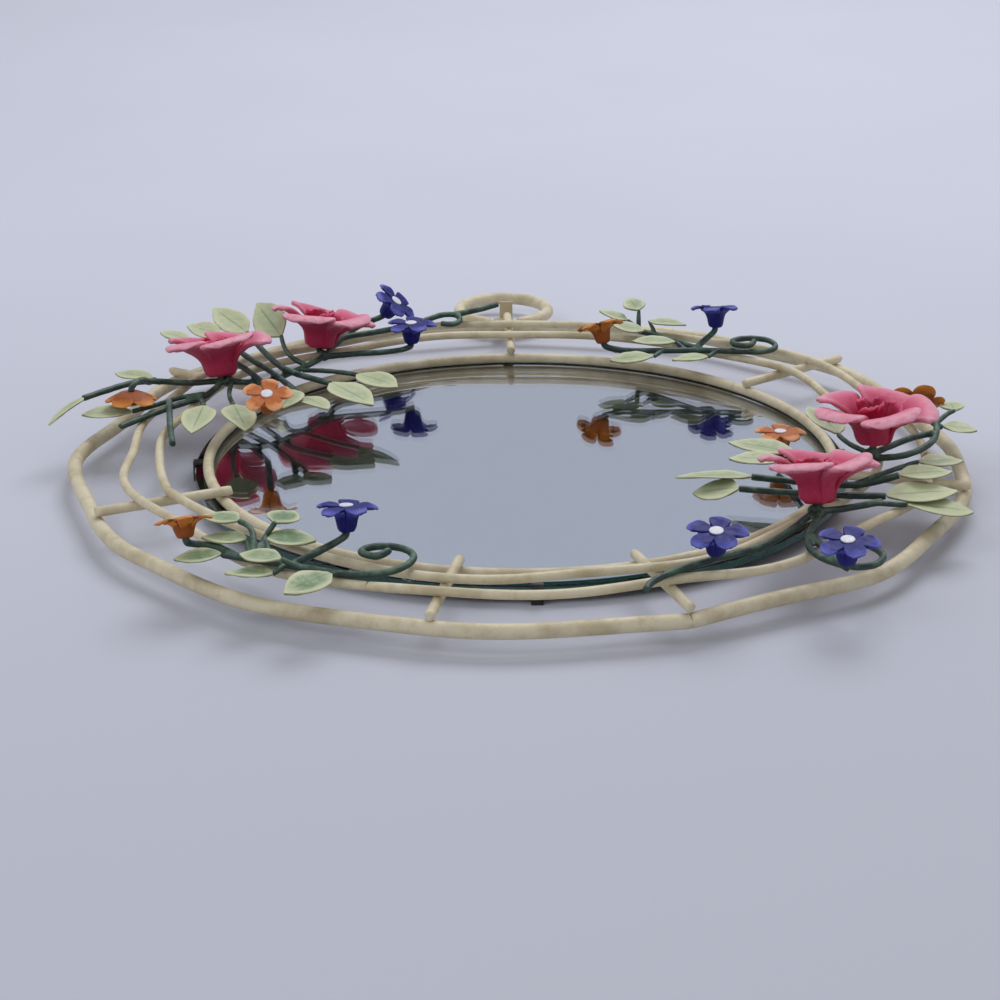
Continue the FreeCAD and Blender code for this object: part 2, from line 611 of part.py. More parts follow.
def make_spray(plan):
    """The stems, leaves, flowers and white flower centres of one spray."""
    stems, leaves, flowers, buttons, ends = [], [], {}, [], {}
    for shares in plan["stems"]:
        path = smooth([spot(s) for s in shares], stem_steps)
        ends[shares[0]] = (path[0] - path[1]).normalize()
        ends[shares[-1]] = (path[-1] - path[-2]).normalize()
        stems.append(coped(rod(path, stem_rod, stem_sides), stems))
    for shares, tip, width, roll in plan["leaves"]:
        root = spot(shares[-1])
        seat = ends.get(shares[-1])
        if len(shares) > 1:
            path = [spot(s) for s in shares]
            along = (path[-1] - path[-2]).normalize()
            seat = (along + (spot(tip) - root).normalize()).normalize()
            stems.append(coped(rod(path, twig_rod, stem_sides, end_normal=seat), stems))
        leaves.append(make_leaf(root, spot(tip), leaf_width * width, roll, seat))
    for name, shares, tilt, towards, spin, size in plan["flowers"]:
        base = spot(shares[-1])
        axis = lean(tilt, towards)
        path = [spot(s) for s in shares[:-1]] + [base - axis * neck, base]
        stems.append(coped(rod(path, stem_rod, stem_sides), stems))
        if name.startswith("rose"):
            flowers[name] = make_rose(base, axis, spin, size)
            flowers[name.replace("rose", "rose_bud")] = make_bud(base, axis, spin, size)
        else:
            height = bloom_height * size * flatter_shares.get(name, 1)
            flowers[name] = make_bloom(base, axis, spin, size, height)
            buttons.append(make_button(base, axis, size, height))
    return stems, leaves, flowers, buttons


def save(name, shapes):
    shape = shapes[0] if len(shapes) == 1 else Part.makeCompound(shapes)
    shape.exportStep("parts/" + name + ".step")


def main():
    os.makedirs("parts", exist_ok=True)
    save("backing_board", [make_board()])
    save("mirror_glass", [make_glass()])
    save("mirror_clips", make_clips())
    save("mirror_ring", [make_mirror_ring()])
    for name, cuts in rail_cuts.items():
        save(name, [bent_length(rail_wave_shares, rail_radius, rail_wave, rail_level, rail_rod, rod_sides,
                                *cuts)])
    for name, cuts in middle_cuts.items():
        save(name, [bent_length(middle_wave_shares, middle_radius, middle_wave, wire_level, wire_rod,
                                wire_sides, *cuts)])
    for name, cuts in inner_cuts.items():
        save(name, [bent_length(inner_wave_shares, inner_radius, inner_wave, wire_level, wire_rod, wire_sides,
                                *cuts)])
    for name, degrees in rung_degrees.items():
        save(name, [make_rung(degrees)])
    save("hanger_strap", [make_strap()])
    save("hanger_ring", [make_hanger()])
    all_buttons = []
    for spray, plan in spray_shares.items():
        stems, leaves, flowers, buttons = make_spray(plan)
        save("stems_" + spray, stems)
        save("leaves_" + spray, leaves)
        for name, shape in flowers.items():
            save(name, [shape])
        all_buttons += buttons
    save("flower_centres", all_buttons)


main()
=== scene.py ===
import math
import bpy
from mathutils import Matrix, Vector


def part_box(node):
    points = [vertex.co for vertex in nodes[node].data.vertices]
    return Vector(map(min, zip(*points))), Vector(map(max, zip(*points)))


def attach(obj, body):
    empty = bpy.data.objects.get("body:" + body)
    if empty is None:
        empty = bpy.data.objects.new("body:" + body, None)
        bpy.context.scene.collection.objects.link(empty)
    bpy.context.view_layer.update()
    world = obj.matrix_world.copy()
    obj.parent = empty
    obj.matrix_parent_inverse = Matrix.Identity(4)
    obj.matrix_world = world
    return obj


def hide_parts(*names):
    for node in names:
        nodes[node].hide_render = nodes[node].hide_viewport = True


bl_info = {
    "name": "Round wall mirror with painted metal flowers",
    "version": (1, 0, 0),
    "blender": (4, 5, 0),
    "location": "View3D > Sidebar > Mirror",
    "description": "Paints the packed frame of the mirror and models its leaves and flowers",
    "category": "Object",
}

import bmesh
import bpy
import numpy as np
from bpy.props import FloatProperty, FloatVectorProperty, IntProperty, PointerProperty
from mathutils import Color, Matrix, Vector

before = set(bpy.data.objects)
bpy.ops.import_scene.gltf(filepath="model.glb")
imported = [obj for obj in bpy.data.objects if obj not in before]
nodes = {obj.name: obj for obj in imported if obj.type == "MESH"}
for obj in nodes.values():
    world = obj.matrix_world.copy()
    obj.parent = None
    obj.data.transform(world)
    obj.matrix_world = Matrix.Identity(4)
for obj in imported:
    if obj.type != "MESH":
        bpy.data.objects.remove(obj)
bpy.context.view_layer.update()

millimetre = 0.001


def linear(red, green, blue):
    """A screen colour, 0 to 255, as the light that a shader takes."""
    def channel(value):
        share = value / 255
        return share / 12.92 if share <= 0.04045 else ((share + 0.055) / 1.055) ** 2.4
    return (channel(red), channel(green), channel(blue))


def colour(name, description, red, green, blue):
    """A colour setting, given as a screen colour."""
    return FloatVectorProperty(name=name, description=description, subtype="COLOR", size=3, min=0, max=1,
                               default=linear(red, green, blue))


def length(name, description, default):
    """A length setting, in metres."""
    return FloatProperty(name=name, description=description, default=default, unit="LENGTH")


def share(name, description, default):
    """A setting from 0 to 1."""
    return FloatProperty(name=name, description=description, default=default, subtype="FACTOR", min=0, max=1)


def power(name, description, default):
    """A lamp's power, in watts."""
    return FloatProperty(name=name, description=description, default=default, unit="POWER")


def angle(name, description, default):
    """An angle setting, given in degrees."""
    return FloatProperty(name=name, description=description, default=math.radians(default), subtype="ANGLE")


class RodSettings(bpy.types.PropertyGroup):
    """The rods of the frame and the hanging ring"""
    rounds: IntProperty(name="Rounding", description="Subdivision levels that round the rods", default=2)
    end_crease: share("End crease", "How sharp the cut ends stay", 0.85)
    light: colour("Cream", "Cream paint where it is clean", 220, 210, 180)
    worn: colour("Worn cream", "Cream paint where it is rubbed", 192, 178, 144)
    speck: colour("Speckle", "Dark specks in the paint", 126, 110, 82)
    patch: length("Patch", "Width of the rubbed patches", 26 * millimetre)
    cloud: length("Cloud", "Width of the clouds in the paint", 7 * millimetre)
    grain: length("Grain", "Width of the specks", 1.1 * millimetre)


class VineSettings(bpy.types.PropertyGroup):
    """The stems and twigs of the sprays"""
    cell: length("Cell", "Size of the cells that melt the joints together", 0.6 * millimetre)
    rounds: IntProperty(name="Rounding", description="Subdivision levels that round the bends", default=2)
    melting: IntProperty(name="Melting", description="Rounds of smoothing over the joints", default=7)
    lump: length("Lumps", "Depth of the hand-dipped unevenness", 0.35 * millimetre)
    lump_size: length("Lump size", "Width of the unevenness", 7 * millimetre)
    trim: length("Trim", "What is taken off all round", 0.15 * millimetre)
    bead: length("Weld bead", "Radius of the beads where stems are welded", 3.6 * millimetre)
    dark: colour("Vine green", "Dark green paint of the vines", 38, 58, 48)
    # The rubbed green is also the painted highlight on the vines' upper side
    rubbed: colour("Rubbed green", "Lighter green where the vines are rubbed", 90, 120, 98)
    patch: length("Patch", "Width of the rubbed patches", 9 * millimetre)
    grain: length("Grain", "Width of the dusty specks", 1.6 * millimetre)


class LeafSettings(bpy.types.PropertyGroup):
    """The leaves"""
    sheet: length("Sheet", "Thickness of the leaf sheet", 1.3 * millimetre)
    rounds: IntProperty(name="Rounding", description="Subdivision levels of the leaves", default=2)
    light_brushing: share("Light brushing", "Share of sage on most leaves", 0.5)
    pale: colour("Pale green", "Leaf paint at the rim", 204, 208, 168)
    sage: colour("Sage", "Brushed green in the middle of a leaf", 108, 138, 98)
    # Leaf edge is painted shade: it darkens the faces that turn down or sideways, away from the light
    edge: colour("Leaf edge", "Darker paint on the cut edge and the underside", 128, 138, 104)
    brush: length("Brush", "Width of the brush marks", 5 * millimetre)
    grain: length("Grain", "Width of the specks", 1.0 * millimetre)
    patch: length("Patch", "Width of the patches that are brushed more", 55 * millimetre)


class RoseSettings(bpy.types.PropertyGroup):
    """The roses and their curled buds"""
    radius: length("Radius", "From the axis to a petal's tip", 32 * millimetre)
    height: length("Height", "From the base to the rim", 20 * millimetre)
    sheet: length("Sheet", "Thickness of a petal at its rim", 3.4 * millimetre)
    bud_sheet: length("Bud sheet", "Thickness of the small petals in the bud", 2.2 * millimetre)
    petals: IntProperty(name="Petals", description="Petals of a rose", default=5)
    bud_petals: IntProperty(name="Bud petals", description="Petals of each ring of a bud", default=3)
    rounds: IntProperty(name="Rounding", description="Subdivision levels of the petals", default=2)
    heart: colour("Heart of the rose", "Rose paint deep in the bud", 178, 44, 78)
    bud: colour("Bud", "Rose paint on the petals of the bud", 208, 76, 114)
    deep: colour("Deep rose", "Rose paint in the cup and under the petals", 190, 52, 88)
    middle: colour("Rose", "Rose paint on the petals", 220, 100, 134)
    # Frost is brushed at the tips, and is painted highlight where the petals face up
    frost: colour("Frosted pink", "Pale brushing at the petal tips", 240, 184, 200)


class BloomSettings(bpy.types.PropertyGroup):
    """The small flowers"""
    radius: length("Radius", "From the axis to a petal's tip", 16 * millimetre)
    height: length("Height", "From the base to the petals", 12 * millimetre)
    sheet: length("Sheet", "Thickness of a petal at its rim", 2.4 * millimetre)
    petals: IntProperty(name="Petals", description="Petals of a small flower", default=5)
    rounds: IntProperty(name="Rounding", description="Subdivision levels of the petals", default=2)
    # Each frosted colour is brushed at the petal tips, and is painted highlight where the petals face up
    blue_deep: colour("Deep blue", "Blue paint in the cup", 26, 26, 112)
    blue: colour("Blue", "Blue paint on the petals", 44, 46, 150)
    blue_frost: colour("Frosted blue", "Pale brushing on the blue tips", 120, 126, 206)
    orange_deep: colour("Deep orange", "Orange paint in the cup", 150, 78, 26)
    orange: colour("Orange", "Orange paint on the petals", 206, 124, 48)
    orange_frost: colour("Frosted orange", "Pale brushing on the orange tips", 226, 156, 84)
    peach_deep: colour("Deep peach", "Peach paint in the cup", 188, 104, 46)
    peach: colour("Peach", "Peach paint on the petals", 226, 150, 94)
    peach_frost: colour("Frosted peach", "Pale brushing on the peach tips", 240, 188, 146)
    white: colour("White", "White paint of the flower centres", 232, 233, 240)
    white_shade: colour("Shaded white", "Duller white of the flower centres", 212, 214, 226)


class GlassSettings(bpy.types.PropertyGroup):
    """The glass, its silvering, the board and the clips"""
    clear: colour("Clear glass", "Tint of the glass", 243, 246, 244)
    clearer: colour("Clearer glass", "Tint of the glass where it is palest", 246, 248, 246)
    silver: colour("Silvering", "Reflecting layer under the glass", 230, 230, 233)
    silvered: length("Silvered radius", "Where the silvering ends, under the ring rod", 174 * millimetre)
    fade: length("Fade", "Width over which the silvering ends", 1 * millimetre)
    seam: length("Seam", "Gap between the silvering and the board", 0.15 * millimetre)
    edge: colour("Glass edge", "Ground edge of the glass", 14, 72, 64)
    shade: colour("Shaded edge", "Bare rim of the glass where the ring shades it", 20, 26, 26)
    turn: length("Turn", "How far each way from the middle the bare rim changes colour", 50 * millimetre)
    board: colour("Board", "Black paint of the board", 30, 30, 32)
    board_worn: colour("Worn board", "Black paint where it is rubbed", 46, 45, 46)
    clip: colour("Clip", "Steel of the clips", 52, 52, 50)
    clip_worn: colour("Worn clip", "Steel of the clips where it is rubbed", 84, 82, 78)


class StageSettings(bpy.types.PropertyGroup):
    """The floor, the light and the camera"""
    floor: colour("Floor", "Pale floor", 206, 209, 223)
    sky: colour("Soft light", "Light from all round", 240, 238, 236)
    sky_strength: share("Soft strength", "Strength of the light from all round", 0.55)
    seen: colour("Seen sky", "What the mirror and the glass show of the room", 182, 189, 206)
    window: colour("Window", "Light of the window", 246, 248, 255)
    window_power: power("Window power", "Power of the window", 34)
    fill: colour("Fill", "Light of the fill lamp", 240, 244, 255)
    fill_power: power("Fill power", "Power of the fill lamp", 9)
    lens: FloatProperty(name="Lens", description="Focal length of the camera", unit="CAMERA", default=84.65)
    tilt: angle("Tilt", "Camera tilt below level", 21.197)
    roll: angle("Roll", "Camera roll", -0.225)
    across: length("Across", "Camera place across", -0.0118)
    back: length("Back", "Camera place along", -1.240)
    high: length("High", "Camera place up", 0.4655)


# Making and changing meshes

merge_distance = 0.01 * millimetre
flat_angle = math.radians(25)
bevel_width = 0.4 * millimetre
bevel_rows = 2


def only(piece):
    """Leaves one object selected and active."""
    bpy.ops.object.select_all(action="DESELECT")
    piece.select_set(True)
    bpy.context.view_layer.objects.active = piece


def edit(piece, select="DESELECT"):
    """Opens a piece in edit mode, with all or none of it selected."""
    only(piece)
    bpy.ops.object.mode_set(mode="EDIT")
    bpy.ops.mesh.select_mode(type="VERT")
    bpy.ops.mesh.select_all(action=select)


def done():
    bpy.ops.object.mode_set(mode="OBJECT")


def pick(piece, test):
    """In edit mode, selects the vertices whose place passes a test."""
    mesh = bmesh.from_edit_mesh(piece.data)
    for vertex in mesh.verts:
        vertex.select_set(bool(test(vertex.co)))
    mesh.select_flush_mode()
    bmesh.update_edit_mesh(piece.data)


def named(name):
    piece = bpy.context.object
    piece.name = name
    piece.data.name = name
    return piece


def copy_of(piece, name):
    twin = bpy.data.objects.new(name, piece.data.copy())
    bpy.context.scene.collection.objects.link(twin)
    return twin


def merged_copy(node, name):
    """A copy of a frame node with its loose triangles joined up."""
    twin = copy_of(nodes[node], name)
    twin.data.materials.clear()
    edit(twin, "SELECT")
    bpy.ops.mesh.remove_doubles(threshold=merge_distance)
    done()
    return twin


def joined(pieces, name):
    """Several pieces made one."""
    only(pieces[0])
    for piece in pieces:
        piece.select_set(True)
    bpy.ops.object.join()
    return named(name)


def modify(piece, kind, **settings):
    """Adds a modifier and applies it."""
    only(piece)
    modifier = piece.modifiers.new(kind.title(), kind)
    for key, value in settings.items():
        setattr(modifier, key, value)
    bpy.ops.object.modifier_apply(modifier=modifier.name)


def squared(piece):
    """Joins the triangles of a copy into quads."""
    edit(piece, "SELECT")
    bpy.ops.mesh.tris_convert_to_quads(face_threshold=flat_angle, shape_threshold=math.pi)
    done()


def creased(piece, angle, crease):
    """Joins triangles into quads, and creases the edges that turn by more than an angle."""
    squared(piece)
    edit(piece)
    bpy.ops.mesh.select_mode(type="EDGE")
    bpy.ops.mesh.edges_select_sharp(sharpness=angle)
    bpy.ops.transform.edge_crease(value=crease)
    done()


def bevelled(piece, angle):
    """Bevels the edges that turn by more than an angle."""
    modify(piece, "BEVEL", width=bevel_width, segments=bevel_rows, limit_method="ANGLE", angle_limit=angle)


def rounded(piece, levels):
    """Subdivides a piece and shades it smooth."""
    modify(piece, "SUBSURF", levels=levels, render_levels=levels)
    bpy.ops.object.shade_smooth()


def settle(piece, body, node, paints):
    """Gives a piece its paints and its body, and hides the node that it stands for."""
    piece.data.materials.clear()
    for paint in paints:
        piece.data.materials.append(paint)
    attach(piece, body)
    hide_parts(node)


# Paints

# Colour sockets of a Mix node
mix_first = 6
mix_second = 7
mix_result = 2

# Depths of the relief in the paints
rough_relief = 0.5 * millimetre
brush_relief = 0.35 * millimetre
dust_relief = 0.15 * millimetre
speck_relief = 0.12 * millimetre
fine_relief = 0.1 * millimetre

# Widths of the patches in the paints of the glass, its fittings, the flowers and the floor
haze_width = 90 * millimetre
tarnish_width = 120 * millimetre
streak_width = 9 * millimetre
board_patch = 20 * millimetre
clip_patch = 6 * millimetre
white_patch = 2 * millimetre
petal_brush = 4 * millimetre
petal_grain = 0.9 * millimetre
floor_patch = 400 * millimetre


def tinted(paint, strength):
    """A colour made lighter or darker."""
    return tuple(strength * channel for channel in paint)


class Tree:
    """A node tree whose nodes are added one at a time."""

    def __init__(self, tree):
        self.tree = tree

    def add(self, kind, inputs=(), **settings):
        node = self.tree.nodes.new(kind)
        for key, value in settings.items():
            setattr(node, key, value)
        for socket, value in dict(inputs).items():
            self.put(node.inputs[socket], value)
        return node

    def put(self, socket, value):
        """Links a socket to another, or gives it a value or a colour."""
        if isinstance(value, bpy.types.NodeSocket):
            self.tree.links.new(value, socket)
        elif isinstance(value, (tuple, Color)) and socket.type == "RGBA":
            socket.default_value = (*value, 1)
        else:
            socket.default_value = value


class Paint(Tree):
    """A material whose pattern follows the place on the object."""

    def __init__(self, name, **sockets):
        self.material = bpy.data.materials.new(name)
        self.material.use_nodes = True
        super().__init__(self.material.node_tree)
        self.shader = self.tree.nodes["Principled BSDF"]
        self.place = self.add("ShaderNodeTexCoord").outputs["Object"]
        for socket, value in sockets.items():
            self.shader.inputs[socket.replace("_", " ")].default_value = value

    def noise(self, width, detail, roughness):
        """Soft noise, 0 to 1, whose lumps are about a width across, in metres."""
        settings = {"Vector": self.place, "Scale": 1 / width, "Detail": detail, "Roughness": roughness}
        return self.add("ShaderNodeTexNoise", settings).outputs["Fac"]

    def span(self, value, low, high, start=0.0, end=1.0):
        """A value eased from one range to another, and held at the ends."""
        ends = {"Value": value, "From Min": low, "From Max": high, "To Min": start, "To Max": end}
        return self.add("ShaderNodeMapRange", ends, interpolation_type="SMOOTHSTEP").outputs["Result"]

    def math(self, operation, first, second):
        node = self.add("ShaderNodeMath", {0: first, 1: second}, operation=operation, use_clamp=True)
        return node.outputs[0]

    def product(self, *values):
        result = values[0]
        for value in values[1:]:
            result = self.math("MULTIPLY", result, value)
        return result

    def mix(self, part, first, second):
        """A colour between two others."""
        colours = {"Factor": part, mix_first: first, mix_second: second}
        return self.add("ShaderNodeMix", colours, data_type="RGBA").outputs[mix_result]

    def shape(self, name):
        """A value that the mesh carries."""
        return self.add("ShaderNodeAttribute", attribute_name=name).outputs["Fac"]

    def upward(self):
        """How far the surface faces up, -1 to 1."""
        normal = self.add("ShaderNodeNewGeometry").outputs["Normal"]
        return self.add("ShaderNodeSeparateXYZ", {0: normal}).outputs["Z"]

    def depth(self):
        """How far back a point lies, in metres from the middle."""
        return self.add("ShaderNodeSeparateXYZ", {0: self.place}).outputs["Y"]

    def colour(self, value):
        self.put(self.shader.inputs["Base Color"], value)

    def roughness(self, value):
        self.put(self.shader.inputs["Roughness"], value)

    def bump(self, *heights):
        """Relief from pairs of a value and its depth in metres."""
        normal = None
        for value, depth in heights:
            node = self.add("ShaderNodeBump", {"Height": value, "Distance": depth, "Strength": 1.0})
            if normal is not None:
                self.put(node.inputs["Normal"], normal)
            normal = node.outputs["Normal"]
        self.put(self.shader.inputs["Normal"], normal)


def cream_paint(rods):
    paint = Paint("Cream paint")
    rubbed = paint.noise(rods.patch, 4, 0.6)
    cloudy = paint.noise(rods.cloud, 5, 0.65)
    speckle = paint.noise(rods.grain, 3, 0.6)
    base = paint.mix(paint.span(rubbed, 0.42, 0.68), rods.light, rods.worn)
    base = paint.mix(paint.span(cloudy, 0.5, 0.72, 0, 0.55), base, rods.worn)
    paint.colour(paint.mix(paint.span(speckle, 0.66, 0.8, 0, 0.5), base, rods.speck))
    paint.roughness(paint.span(cloudy, 0.3, 0.7, 0.42, 0.62))
    paint.bump((cloudy, rough_relief), (speckle, speck_relief))
    return paint.material


def vine_paint(vines):
    """Dark green, rubbed lighter in patches, with painted highlight that lightens the upper side, and dusty
    in specks.
    """
    paint = Paint("Vine paint")
    rub = paint.noise(vines.patch, 5, 0.6)
    grain = paint.noise(vines.grain, 4, 0.6)
    # Rubbed patches, made lighter on the upper side as painted highlight
    rubbing_and_top_light = paint.product(paint.span(rub, 0.4, 0.66), paint.span(paint.upward(), -0.2, 0.9, 0.15, 1))
    worn = paint.mix(rubbing_and_top_light, vines.dark, vines.rubbed)
    paint.colour(paint.mix(paint.span(grain, 0.62, 0.78, 0, 0.5), worn, tinted(vines.rubbed, 1.25)))
    paint.roughness(paint.span(rub, 0.3, 0.7, 0.38, 0.6))
    paint.bump((rub, rough_relief), (grain, dust_relief))
    return paint.material


def leaf_paint(name, leaves, strength):
    """Pale at the rim, brushed sage in the middle with a darker vein, and painted shade underneath and on the
    cut edges.
    """
    paint = Paint(name)
    along = paint.shape("along")
    across = paint.shape("across")
    brush = paint.noise(leaves.brush, 5, 0.65)
    grain = paint.noise(leaves.grain, 3, 0.6)
    patch = paint.noise(leaves.patch, 2, 0.5)
    brushed = paint.product(
        paint.span(across, 0.95, 0.45),
        paint.span(along, 0.0, 0.25, 0.5, 1),
        paint.span(along, 1.0, 0.62),
        paint.span(brush, 0.25, 0.6, 0.55, 1),
        paint.span(patch, 0.35, 0.6, 0.4 * strength, strength),
    )
    vein = paint.product(paint.span(across, 0.10, 0.02, 0, 0.6), paint.span(along, 0.98, 0.7))
    face = paint.mix(brushed, leaves.pale, leaves.sage)
    face = paint.mix(vein, face, leaves.sage)
    face = paint.mix(paint.span(grain, 0.62, 0.8, 0, 0.25), face, leaves.sage)
    # Painted shade: faces that turn down or sideways take the darker leaf edge colour
    paint.colour(paint.mix(paint.span(paint.upward(), 0.35, -0.1), face, leaves.edge))
    paint.roughness(paint.span(brush, 0.3, 0.7, 0.45, 0.65))
    paint.bump((brush, brush_relief), (grain, fine_relief))
    return paint.material


def petal_paint(name, deep, middle, frost, frosting):
    """Paint that is deep in the cup, lighter on the petals and brushed pale at their tips, the pale brushing
    strongest on upward faces as painted highlight.
    """
    paint = Paint(name, Specular_IOR_Level=0.25)
    along = paint.shape("along")
    across = paint.shape("across")
    brush = paint.noise(petal_brush, 5, 0.7)
    grain = paint.noise(petal_grain, 3, 0.65)
    # Painted highlight: the pale brushing is strongest where the petals face up
    top = paint.span(paint.upward(), -0.35, 0.5, 0.25, 1)
    opened = paint.product(paint.span(along, 0.4, 0.8), paint.span(brush, 0.2, 0.5, 0.6, 1))
    body = paint.mix(opened, deep, middle)
    tips = paint.math("ADD", paint.span(along, 0.58, 0.92), paint.span(across, 0.7, 1.0, 0, 0.35))
    tips = paint.product(tips, paint.span(along, 0.35, 0.6))
    pale = paint.product(tips, top, paint.span(brush, 0.25, 0.6, 0.3, frosting))
    specks = paint.product(paint.span(grain, 0.56, 0.7, 0, 0.6), tips)
    paint.colour(paint.mix(specks, paint.mix(pale, body, frost), frost))
    paint.roughness(paint.span(brush, 0.3, 0.7, 0.42, 0.6))
    paint.bump((brush, brush_relief), (grain, fine_relief))
    return paint.material


def plain_paint(name, light, dark, width, roughness, **sockets):
    paint = Paint(name, **sockets)
    cloudy = paint.noise(width, 4, 0.6)
    paint.colour(paint.mix(paint.span(cloudy, 0.35, 0.7), light, dark))
    paint.roughness(paint.span(cloudy, 0.3, 0.7, roughness, roughness + 0.12))
    paint.bump((cloudy, dust_relief))
    return paint.material


def clear_paint(glass):
    paint = Paint("Clear glass", Transmission_Weight=1.0, Roughness=0.0, IOR=1.5)
    paint.colour(paint.mix(paint.noise(haze_width, 3, 0.5), glass.clear, glass.clearer))
    return paint.material


def silver_paint(glass):
    """The silvering, and the bare rim outside it that takes the colour of the edge in front and painted shade
    at the back, where the ring shades it.
    """
    paint = Paint("Silvering", Metallic=1.0)
    cloud = paint.noise(tarnish_width, 3, 0.5)
    bright = paint.mix(cloud, glass.silver, tinted(glass.silver, 0.985))
    flat = paint.add("ShaderNodeVectorMath", {0: paint.place, 1: (1, 1, 0)}, operation="MULTIPLY")
    reach = paint.add("ShaderNodeVectorMath", {0: flat.outputs[0]}, operation="LENGTH").outputs["Value"]
    bare = paint.span(reach, glass.silvered - glass.fade, glass.silvered)
    # Painted shade: the bare rim darkens towards the back
    rim = paint.mix(paint.span(paint.depth(), -glass.turn, glass.turn), glass.edge, glass.shade)
    paint.colour(paint.mix(bare, bright, rim))
    paint.roughness(paint.span(cloud, 0.2, 0.8, 0.0, 0.004))
    return paint.material


def ground_paint(glass):
    paint = Paint("Ground glass edge", Coat_Weight=0.6, Coat_Roughness=0.1)
    streak = paint.noise(streak_width, 4, 0.6)
    paint.colour(paint.mix(streak, glass.edge, tinted(glass.edge, 1.3)))
    paint.roughness(paint.span(streak, 0.3, 0.7, 0.22, 0.4))
    return paint.material


# Petals and leaves. Each row of a petal's sheet has four shares: how wide, how far out, how high and how
# bowed it is. They are shares of the flower's radius and height.

rose_petal_shares = (
    (0.03, 0.03, 0.00, 1.0), (0.20, 0.20, 0.00, 1.0), (0.26, 0.26, 0.03, 1.0), (0.28, 0.28, 0.20, 1.0),
    (0.30, 0.30, 0.38, 1.0), (0.36, 0.35, 0.55, 1.0), (0.47, 0.45, 0.72, 1.0), (0.63, 0.59, 0.86, 0.95),
    (0.78, 0.72, 0.95, 0.85), (0.88, 0.82, 0.98, 0.7), (0.87, 0.90, 0.95, 0.55), (0.70, 0.955, 0.89, 0.42),
    (0.40, 0.975, 0.84, 0.34),
)
bud_petal_shares = (
    (0.14, 0.15, 0.40, 1.0), (0.22, 0.21, 0.50, 1.0), (0.26, 0.24, 0.70, 1.0), (0.28, 0.27, 0.88, 1.0),
    (0.27, 0.31, 1.00, 1.0), (0.19, 0.34, 1.05, 1.0), (0.08, 0.36, 1.06, 1.0),
)
cup_shares = (
    (0.03, 0.03, 0.00, 1.0), (0.18, 0.18, 0.00, 1.0), (0.25, 0.25, 0.04, 1.0), (0.265, 0.27, 0.30, 1.0),
    (0.29, 0.30, 0.55, 1.0), (0.36, 0.37, 0.74, 1.0), (0.44, 0.48, 0.85, 0.9), (0.42, 0.58, 0.93, 0.75),
)
lobe_shares = (
    (0.04, 0.04, 0.93, 1.0), (0.20, 0.20, 0.94, 1.0), (0.36, 0.35, 0.95, 1.0), (0.47, 0.50, 0.97, 0.85),
    (0.54, 0.66, 0.98, 0.68), (0.54, 0.80, 0.95, 0.54), (0.43, 0.90, 0.89, 0.44), (0.22, 0.94, 0.84, 0.36),
)
pressed_petal_shares = (
    (0.03, 0.03, 0.00, 1.0), (0.22, 0.22, 0.00, 1.0), (0.37, 0.35, 0.05, 1.0), (0.53, 0.50, 0.15, 1.0),
    (0.66, 0.63, 0.30, 1.0), (0.72, 0.76, 0.47, 0.95), (0.67, 0.87, 0.64, 0.85), (0.50, 0.95, 0.76, 0.7),
    (0.26, 0.98, 0.82, 0.6),
)
petal_half_angle = 41.25
petal_angle_slack = 0.001
petal_columns = 48
petal_root_share = 0.55

# Each row of a leaf has its place along the leaf and its width, as shares of the leaf's length and width.
leaf_shares = (
    (0.00, 0.12), (0.05, 0.26), (0.13, 0.58), (0.25, 0.90), (0.40, 1.00), (0.55, 0.95), (0.69, 0.79),
    (0.81, 0.55), (0.91, 0.29), (0.975, 0.10), (1.0, 0.03),
)
leaf_columns = 8
leaf_cup_share = 0.10
leaf_droop_share = 0.03
leaf_end_share = 0.15
leaf_twist = 9
leaf_seed = 7

# Unevenness of petals set by hand: every second one is smaller, and their lean and roll vary round the axis
second_inset_share = 0.03
lean_start = 1
lean_step = 2.4
roll_step = 1.7
roll_change_share = 0.3
flower_lump_share = 0.3
leaf_lump_share = 0.7


def carry(piece, name, values):
    """Stores a value for each vertex, which paints read and modifiers keep."""
    attribute = piece.data.attributes.new(name, "FLOAT", "POINT")
    attribute.data.foreach_set("value", np.asarray(values, np.float32))


def places(piece):
    """The place of each vertex, as rows."""
    values = np.zeros(3 * len(piece.data.vertices), np.float32)
    piece.data.vertices.foreach_get("co", values)
    return values.reshape(-1, 3).astype(float)


def make_petal(name, shares, radius, height):
    """A petal's sheet, drawn up row by row from an arc round the flower's axis."""
    bpy.ops.object.select_all(action="DESELECT")
    bpy.ops.mesh.primitive_circle_add(vertices=petal_columns, radius=radius, fill_type="NOTHING")
    petal = named(name)
    edit(petal)
    half = math.radians(petal_half_angle) + petal_angle_slack
    pick(petal, lambda co: abs(math.atan2(co.y, co.x)) > half)
    bpy.ops.mesh.delete(type="VERT")
    bpy.ops.mesh.select_all(action="SELECT")
    wide, out, rise, bow = shares[0]
    bpy.ops.transform.resize(value=(out, wide, 1), center_override=(0, 0, 0))
    bpy.ops.transform.translate(value=(0, 0, rise * height))
    for next_wide, next_out, next_rise, next_bow in shares[1:]:
        bpy.ops.mesh.extrude_edges_move(TRANSFORM_OT_translate={"value": (0, 0, (next_rise - rise) * height)})
        bpy.ops.transform.resize(value=(next_out / out, next_wide / wide, 1), center_override=(0, 0, 0))
        if next_bow != bow:
            bpy.ops.transform.resize(value=(next_bow / bow, 1, 1), center_override=(next_out * radius, 0, 0))
        wide, out, rise, bow = next_wide, next_out, next_rise, next_bow
    done()
    columns = 2 * int(petal_half_angle / 360 * petal_columns) + 1
    rows = np.arange(len(petal.data.vertices)) // columns
    place = places(petal)
    widest = np.array([abs(place[rows == row, 1]).max() for row in rows])
    along = rows / (len(shares) - 1)
    carry(petal, "along", along)
    carry(petal, "across", abs(place[:, 1]) / widest)
    thick = petal.vertex_groups.new(name="thick")
    for vertex, reach in enumerate(along):
        thick.add([vertex], petal_root_share + (1 - petal_root_share) * reach, "REPLACE")
    return petal


